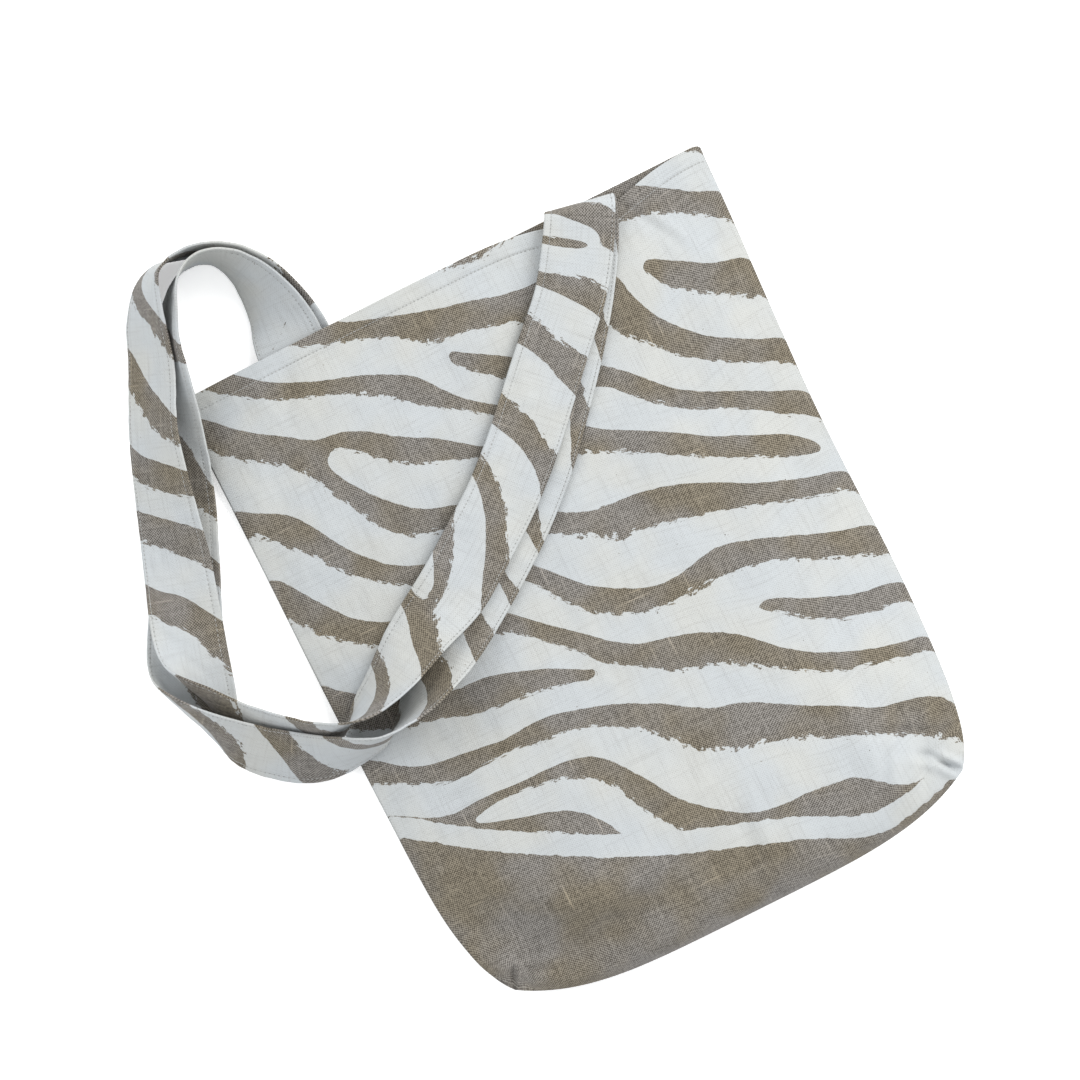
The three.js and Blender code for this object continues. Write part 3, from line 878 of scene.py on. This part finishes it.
def front_surface(across, at):
    """Outer surface of the front in millimetres, with its hem, creases, puckered seams and soft ripples."""
    stitch = bpy.context.scene.tote_sizes.hem_stitch / MM
    places = front_places(across, at)
    x, y = places[..., 0], places[..., 1]
    below_mouth = -cloth_lengths(places)[1]
    side = np.abs(across)
    rows_left = len(SECTIONS["mid"]) - 1 - at
    from_stitch = below_mouth - stitch
    rise = fold_rise(CREASES, x, y)
    for high, size, drawn, seed in RIPPLES:
        rise += high * ripple(x, y * drawn, size, seed)
    high, reach, size, seed = SIDE_PUCKER
    rise += high * bell((1 - side) * HALF_WIDTH, reach) * ripple(x * 0, y, size, seed)
    rise += HEM_STEP[0] * (1 - np.tanh(from_stitch / HEM_STEP[1]))
    rise -= HEM_DIP[0] * bell(from_stitch, HEM_DIP[1])
    high, reach, size, seed = HEM_PUCKER
    rise += high * bell(from_stitch, reach) * ripple(x, y * 0, size, seed)
    loose, near_seam = (
        np.clip((1 - side) / share, 0, 1) * np.clip(rows_left / rows, 0, 1)
        for share, rows in (FOLD_FADE, TUCK_FADE))
    rise = rise * loose + fold_rise(TUCKS, x, y) * near_seam
    places = places + normals_up(places) * rise[..., None]
    places[..., 2] = np.maximum(places[..., 2], section("seam", at) + GAP / 2)
    return places


def front_cloth():
    """The front's outer surface in metres, on the grid of its mesh."""
    at, across = np.meshgrid(
        even_rows(FRONT_ROWS, FRONT_HEM_ROWS, HEM_REACH), even_columns(FRONT_COLUMNS, SEAM_CROWDING),
        indexing="ij")
    return front_surface(across, at) * MM


def back_cloth():
    """Outer surface of the back in metres, which keeps to the floor."""
    at, across = np.meshgrid(
        even_rows(BACK_ROWS, BACK_HEM_ROWS, HEM_REACH), even_columns(BACK_COLUMNS, SEAM_CROWDING),
        indexing="ij")
    places = back_places(across, at)
    x, y = places[..., 0], places[..., 1]
    lifted = np.clip(places[..., 2] / BACK_LIFT, 0, 1)
    lifted *= np.clip((1 - np.abs(across)) / BACK_SIDE_FADE, 0, 1)
    rows_left = len(SECTIONS["mid"]) - 1 - BACK_BASE_ROWS - at
    lifted *= np.clip(rows_left / BACK_BASE_FADE, 0, 1)
    wave = np.maximum(0, 0.5 + 0.5 * ripple(x, y, BACK_RIPPLE_SIZE, BACK_RIPPLE_SEED))
    places[..., 2] += wave * lifted * BACK_RIPPLE
    return places * MM


def hem_piece(name, places, up):
    """The turned hem inside the mouth, a narrow band under or over its panel."""
    sizes = bpy.context.scene.tote_sizes
    rows = np.linspace(0, 1, HEM_SAMPLES)
    end = np.interp(sizes.hem_depth / MM, SECTIONS["mid"][0] - section("mid", rows), rows)
    columns = HEM_SPAN * even_columns(HEM_COLUMNS, HEM_CROWDING)
    at, across = np.meshgrid(np.linspace(0, end, HEM_ROWS), columns, indexing="ij")
    surface = places(across, at) * MM
    normal = normals_up(surface) * (1 if up else -1)
    outer = surface + normal * (sizes.cloth + GAP * MM)
    inner = outer + normal * sizes.hem_cloth
    band, quads, _, lip = folded_sheet(outer, inner, 0.5 * sizes.hem_cloth)
    ring = np.stack(cloth_lengths(surface), -1)
    cloth = np.concatenate([ring[::-1], np.repeat(ring[:1], lip, 0), ring]).reshape(-1, 2)
    return make_piece(name, band, flip_if_inside_out(band, quads), cloth, [plain_linen()])


class TOTE_OT_panels(bpy.types.Operator):
    """Make the printed front and back panels"""
    bl_idname = "tote.panels"
    bl_label = "Panels"

    def execute(self, context):
        sizes = context.scene.tote_sizes
        hem_row = [(1, -sizes.hem_stitch, 0)]
        outside = linen_material("printed linen front", FRONT_PRINT, BASE_EDGE, hem_row)
        front = panel_piece("printed_front", front_cloth(), False, sizes.cloth, [outside, plain_linen()])
        outside = linen_material("printed linen back", BACK_PRINT, BASE_EDGE, hem_row)
        back = panel_piece("printed_back", back_cloth(), True, sizes.cloth, [outside, plain_linen()])
        for piece, node in ((front, "front_panel"), (back, "back_panel")):
            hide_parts(node)
        return {"FINISHED"}


class TOTE_OT_hems(bpy.types.Operator):
    """Make the turned hems inside the mouth"""
    bl_idname = "tote.hems"
    bl_label = "Hems"

    def execute(self, context):
        for name, node, places, up in (("front_hem_band", "front_hem", front_surface, False),
                                       ("back_hem_band", "back_hem", back_places, True)):
            hem = hem_piece(name, places, up)
            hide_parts(node)
        return {"FINISHED"}


# Straps

STRAP_STEP = 1.5 * MM
EDGE_STEPS, ACROSS_STEPS = 40, 40
RELAX_TURNS = 160
SEWN_FIRST, SEWN_LAST, SEWN_FADE = 5, 3, 2
PINCH, PINCH_WIDE, GROOVE = 0.2, 1.0 * MM, 0.8 * MM
FLAT_END, WAVE_FADE = 50, 40
SEAM_COLUMNS = 2
# Soft unevenness of a strap: height, size of a swell, and what is added to the strap's seed
STRAP_RIPPLES = ((0.34, 38, 0), (0.13, 13, 10))
# A stitch: its size, and rings of six sides as a place along it and a share of its width
STITCH_SIDES = 6
STITCH_RINGS = ((-0.5, 0.35), (-0.34, 0.9), (0.0, 1.0), (0.34, 0.9), (0.5, 0.35))
STITCH_ENDS = ((0, 3, 2, 1), (0, 5, 4, 3))
STITCH_LONG, STITCH_WIDE, STITCH_RAISED = 2.1 * MM, 0.42 * MM, 0.02 * MM


def photo_place(right, down, high):
    """Places in metres that the camera sees at pixels of the photo's frame, at heights in millimetres."""
    across = (right / FRAME_PIXELS - 0.5) * FRAME_WIDTH
    upward = (0.5 - down / FRAME_PIXELS) * FRAME_WIDTH
    c, s = math.cos(math.radians(CAMERA_TURN)), math.sin(math.radians(CAMERA_TURN))
    near = 1 - high * MM / CAMERA_PLACE[2]
    x = CAMERA_PLACE[0] + (across * c - upward * s) * near
    y = CAMERA_PLACE[1] + (across * s + upward * c) * near
    return np.stack([x, y, high * MM], -1)


def plain_edges(rows):
    """Both edges of a strap at rows that give its middle, heading and roll."""
    half = bpy.context.scene.tote_sizes.strap_width / 2
    heading, roll = np.radians(rows["heading"]), np.radians(rows["roll"])
    side = np.stack([np.sin(heading) * np.cos(roll), -np.cos(heading) * np.cos(roll), np.sin(roll)], -1)
    centre = np.stack([rows[c] for c in "xyz"], -1) * MM
    return centre - half * side, centre + half * side


def turned_edges(rows):
    """Both edges of a strap at rows that give its rim and its foot."""
    rim = photo_place(rows["rim_right"], rows["rim_down"], rows["rim_high"])
    foot = photo_place(rows["foot_right"], rows["foot_down"], rows["foot_high"])
    wide = np.linalg.norm(foot - rim, axis=-1)
    kept = np.where(rows["square"] > 0, bpy.context.scene.tote_sizes.strap_width, wide)
    side = (foot - rim) * (kept / wide / 2)[:, None]
    centre = (rim + foot) / 2
    return centre - side, centre + side


def strap_frames(rows):
    """Middle, across, along and face of a strap at even lengths, in metres.

    Both edges are curves of their own, so across may be a little off square where the strap folds.
    """
    half = bpy.context.scene.tote_sizes.strap_width / 2
    stretches = [plain_edges(rows["over"]), turned_edges(rows["turn"]), plain_edges(rows["up"])]
    last = sum(len(pair[0]) for pair in stretches) - 1
    at = np.linspace(0, last, last * EDGE_STEPS + 1)
    edges = [np.concatenate([pair[way] for pair in stretches]) for way in (0, 1)]
    edges = [relax(smooth_points(edge, at), at, last) for edge in edges]
    middle = (edges[0] + edges[1]) / 2
    across = (edges[1] - edges[0]) / (2 * half)
    length = run_length(middle)
    even = np.linspace(0, length[-1], int(length[-1] / STRAP_STEP) + 1)
    middle, across = (part_way(even, length, part) for part in (middle, across))
    along = unit(np.gradient(middle, axis=0))
    return even, middle, across, along, unit(np.cross(across, along))


def smooth_points(points, at):
    return np.stack([smooth(points[:, k], at) for k in range(3)], -1)


def relax(points, at, last):
    """Evens out an edge along the strap's loop, and keeps its sewn ends as they are."""
    keep = np.clip(np.minimum(at - SEWN_FIRST, last - SEWN_LAST - at) / SEWN_FADE, 0, 1)[:, None]
    for _ in range(RELAX_TURNS):
        even = points.copy()
        even[1:-1] = (points[:-2] + 2 * points[1:-1] + points[2:]) / 4
        points = points + keep * (even - points)
    return points


def strap_half_thickness(aside):
    """Half the strap's thickness across its width: round folded edges, pinched along the stitch rows."""
    sizes = bpy.context.scene.tote_sizes
    half, thick = sizes.strap_width / 2, sizes.strap_cloth / 2
    pinch = np.zeros(np.shape(aside))
    for row in (-half + sizes.outer_row, half - sizes.inner_row):
        pinch += PINCH * bell(aside - row, PINCH_WIDE)
    edge = np.clip((np.abs(aside) - (half - thick)) / thick, 0, 1)
    return thick * (1 - pinch) * np.sqrt(np.maximum(0, 1 - edge ** 2))


def strap_wave(length, aside, seed):
    """Soft unevenness of a strap, up from its face in metres, which fades out at the sewn ends."""
    at, over = length / MM, aside / MM
    free = np.clip((np.minimum(at, at.max() - at) - FLAT_END) / WAVE_FADE, 0, 1)
    wave = sum(high * ripple(at, over, size, seed + more) for high, size, more in STRAP_RIPPLES)
    return MM * free * wave


def strap_piece(name, rows, material, seed):
    """A folded strap with two stitch rows, carried along its table."""
    sizes = bpy.context.scene.tote_sizes
    length, middle, across, along, face = strap_frames(rows)
    half = sizes.strap_width / 2
    aside = half * even_columns(ACROSS_STEPS, SEAM_CROWDING)
    groove = half - sizes.inner_row + np.array([-1, 0, 1]) * GROOVE
    aside = np.sort(np.concatenate([aside, groove]))
    thick = strap_half_thickness(aside)
    ring_aside = np.concatenate([aside, aside[-2:0:-1]])
    ring_high = np.concatenate([thick, -thick[-2:0:-1]])
    wave = strap_wave(length[:, None], ring_aside[None], seed)
    places = (middle[:, None] + across[:, None] * ring_aside[None, :, None]
              + face[:, None] * (ring_high[None, :, None] + wave[..., None]))
    count, sides = places.shape[:2]
    quads = grid_quads(count, sides + 1).reshape(count - 1, sides, 4)
    row, column = quads // (sides + 1), quads % (sides + 1) % sides
    quads = (row * sides + column).reshape(-1, 4)
    ends = []
    for start in (0, (count - 1) * sides):
        for k in range(1, sides // 2):
            ends.append((start + k, start + sides - k, start + (sides - k - 1) % sides, start + k + 1))
    ends = np.array(ends)
    ends[len(ends) // 2:] = ends[len(ends) // 2:, ::-1]
    flat = places.reshape(-1, 3)
    quads = np.concatenate([flip_if_inside_out(flat, quads), ends])
    u = np.broadcast_to(ring_aside, (count, sides))
    v = length[:, None] + ring_aside[None] * np.sum(across * along, -1)[:, None]
    piece = make_piece(name, flat, quads, np.stack([u, v], -1).reshape(-1, 2), [material])
    return piece, (length, middle, across, along, face, seed)


def capsules(name, centres, along, up, material):
    """Many short rounded stitches as one mesh."""
    long, wide = STITCH_LONG, STITCH_WIDE
    sides, rings = STITCH_SIDES, STITCH_RINGS
    aside = np.cross(along, up)
    places, cloth = [], []
    count = sides * len(rings)
    for shift, share in rings:
        for k in range(sides):
            turn = 2 * math.pi * k / sides
            ring = centres + along * (shift * long)
            ring = ring + (aside * math.cos(turn) + up * math.sin(turn)) * (share * wide / 2)
            places.append(ring)
            onward = shift * long + np.arange(len(centres)) * long
            cloth.append(np.stack([np.full(len(centres), turn * wide / 2), onward], -1))
    places = np.stack(places, 1)
    body = []
    for r in range(len(rings) - 1):
        for k in range(sides):
            nxt = (k + 1) % sides
            body.append((r * sides + k, r * sides + nxt, (r + 1) * sides + nxt, (r + 1) * sides + k))
    last = (len(rings) - 1) * sides
    for a, b, c, d in STITCH_ENDS:
        body.append((a, b, c, d))
        body.append((last + a, last + d, last + c, last + b))
    faces = (np.array(body)[None] + (np.arange(len(centres)) * count)[:, None, None]).reshape(-1, 4)
    flat = places.reshape(-1, 3)
    faces = flip_if_inside_out(flat, faces)
    return make_piece(name, flat, faces, np.stack(cloth, 1).reshape(-1, 2), [material])


def strap_stitches(name, frames, material):
    """Both stitch rows of a strap, on both faces."""
    sizes = bpy.context.scene.tote_sizes
    length, middle, across, along, face, seed = frames
    half = sizes.strap_width / 2
    pitch = sizes.stitch_pitch
    marks = np.arange(pitch, length[-1] - pitch, pitch) + pitch / 2
    at = [part_way(marks, length, part) for part in (middle, across, along, face)]
    centres, ways, ups = [], [], []
    for row in (-half + sizes.outer_row, half - sizes.inner_row):
        high = strap_half_thickness(np.array([row]))[0]
        wave = np.interp(marks, length, strap_wave(length, np.array(row), seed))[:, None]
        for side in (1, -1):
            centres.append(at[0] + at[1] * row + at[3] * (wave + side * (high + STITCH_RAISED)))
            ways.append(at[2])
            ups.append(at[3] * side)
    ways, ups = unit(np.concatenate(ways)), unit(np.concatenate(ups))
    return capsules(name, np.concatenate(centres), ways, ups, material)


class TOTE_OT_straps(bpy.types.Operator):
    """Make the two shoulder straps with their stitches"""
    bl_idname = "tote.straps"
    bl_label = "Shoulder straps"

    def execute(self, context):
        sizes = context.scene.tote_sizes
        half = sizes.strap_width / 2
        rows = [(0, -half + sizes.outer_row, 1), (0, half - sizes.inner_row, 1)]
        thread = named_material("sewing thread", thread_material)
        for name, node, strap_table, stripes, seed in (
                ("shoulder_strap_front", "strap_front", STRAP_FRONT, FRONT_STRAP_PRINT, 21),
                ("shoulder_strap_back", "strap_back", STRAP_BACK, BACK_STRAP_PRINT, 22)):
            linen = linen_material("strap linen " + node, stripes, None, rows)
            strap, frames = strap_piece(name, strap_table, linen, seed)
            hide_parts(node)
            stitches = strap_stitches(node + "_stitches", frames, thread)
        return {"FINISHED"}


class TOTE_OT_hem_stitches(bpy.types.Operator):
    """Make the stitch row below the mouth"""
    bl_idname = "tote.hem_stitches"
    bl_label = "Hem stitches"

    def execute(self, context):
        sizes = context.scene.tote_sizes
        cloth = front_cloth()
        normal = normals_up(cloth)
        depth = -cloth_lengths(cloth)[1]
        line, up = [], []
        for column in range(SEAM_COLUMNS, cloth.shape[1] - SEAM_COLUMNS):
            line.append(part_way(sizes.hem_stitch, depth[:, column], cloth[:, column]))
            up.append(part_way(sizes.hem_stitch, depth[:, column], normal[:, column]))
        line, up = np.array(line), np.array(up)
        length = run_length(line)
        marks = np.arange(sizes.stitch_pitch, length[-1], sizes.stitch_pitch)
        centres = part_way(marks, length, line)
        ups = unit(part_way(marks, length, up))
        along = unit(np.gradient(centres, axis=0))
        thread = named_material("sewing thread", thread_material)
        stitches = capsules("hem_stitches", centres + ups * STITCH_RAISED, along, ups, thread)
        return {"FINISHED"}


# Stage

SENSOR_WIDTH = 36
FLOOR_REACH = 40.0
FLOOR_DROP = 0.1 * MM
FLOOR_GLOW, FLOOR_GLOSS = 0.42, 0.1
SKY_COLOUR, SKY_STRENGTH = (0.97, 0.985, 1.0, 1), 0.86
# Soft lamps that face the bag: name, place in metres, power in watts, size in metres and colour
LAMPS = (
    ("key light", (3.1, 0.8, 2.4), 126, 2.4, (1.0, 0.985, 0.965)),
    ("fill light", (-2.3, 2.1, 2.2), 38, 2.0, (1.0, 0.995, 0.985)),
)


def floor_material():
    colours = bpy.context.scene.tote_colours
    material, tree, shader = new_material("pale floor")
    shader.inputs["Base Color"].default_value = (*colours.floor, 1)
    shader.inputs["Roughness"].default_value = FLOOR_ROUGH
    shader.inputs["Specular IOR Level"].default_value = FLOOR_GLOSS
    seen = add_node(tree, "ShaderNodeLightPath").outputs["Is Camera Ray"]
    tree.links.new(seen, shader.inputs["Emission Color"])
    shader.inputs["Emission Strength"].default_value = FLOOR_GLOW
    return material


def area_light(name, place, power, size, colour):
    light = bpy.data.lights.new(name, "AREA")
    light.energy = power
    light.size = size
    light.color = colour
    lamp = bpy.data.objects.new(name, light)
    lamp.location = place
    x, y, z = place
    lamp.rotation_euler = (math.atan2(math.hypot(x, y), z), 0, math.atan2(-y, -x) - math.pi / 2)
    bpy.context.scene.collection.objects.link(lamp)


class TOTE_OT_stage(bpy.types.Operator):
    """Make the camera, the pale floor and the soft light"""
    bl_idname = "tote.stage"
    bl_label = "Stage"

    def execute(self, context):
        scene = context.scene
        lens = bpy.data.cameras.new("camera")
        lens.sensor_width = SENSOR_WIDTH
        lens.lens = lens.sensor_width * CAMERA_PLACE[2] / FRAME_WIDTH
        camera = bpy.data.objects.new("camera", lens)
        camera.location = CAMERA_PLACE
        camera.rotation_euler = (0, 0, math.radians(CAMERA_TURN))
        scene.collection.objects.link(camera)
        scene.camera = camera
        mesh = bpy.data.meshes.new("floor")
        signs = ((-1, -1), (1, -1), (1, 1), (-1, 1))
        corners = [(x * FLOOR_REACH, y * FLOOR_REACH, -FLOOR_DROP) for x, y in signs]
        mesh.from_pydata(corners, [], [(0, 1, 2, 3)])
        mesh.materials.append(floor_material())
        floor = bpy.data.objects.new("floor", mesh)
        scene.collection.objects.link(floor)
        for lamp in LAMPS:
            area_light(*lamp)
        world = bpy.data.worlds.new("studio")
        world.use_nodes = True
        sky = world.node_tree.nodes["Background"]
        sky.inputs["Color"].default_value = SKY_COLOUR
        sky.inputs["Strength"].default_value = SKY_STRENGTH
        scene.world = world
        scene.view_settings.view_transform = "Standard"
        return {"FINISHED"}


class TOTE_PT_sidebar(bpy.types.Panel):
    """Lists the pieces of the tote bag"""
    bl_idname = "TOTE_PT_sidebar"
    bl_label = "Linen tote bag"
    bl_space_type = "VIEW_3D"
    bl_region_type = "UI"
    bl_category = "Tote"

    def draw(self, context):
        for operator in OPERATORS:
            self.layout.operator(operator.bl_idname)
        for settings in (context.scene.tote_sizes, context.scene.tote_colours):
            for name in settings.__annotations__:
                self.layout.prop(settings, name)


OPERATORS = (TOTE_OT_stage, TOTE_OT_panels, TOTE_OT_hems, TOTE_OT_straps, TOTE_OT_hem_stitches)
CLASSES = (ToteSizes, ToteColours, *OPERATORS, TOTE_PT_sidebar)


def register():
    for cls in CLASSES:
        bpy.utils.register_class(cls)
    bpy.types.Scene.tote_sizes = bpy.props.PointerProperty(type=ToteSizes)
    bpy.types.Scene.tote_colours = bpy.props.PointerProperty(type=ToteColours)


def unregister():
    del bpy.types.Scene.tote_colours
    del bpy.types.Scene.tote_sizes
    for cls in reversed(CLASSES):
        bpy.utils.unregister_class(cls)


def main():
    register()
    bpy.ops.tote.stage()
    bpy.ops.tote.panels()
    bpy.ops.tote.hems()
    bpy.ops.tote.straps()
    bpy.ops.tote.hem_stitches()


if __name__ == "__main__":
    main()
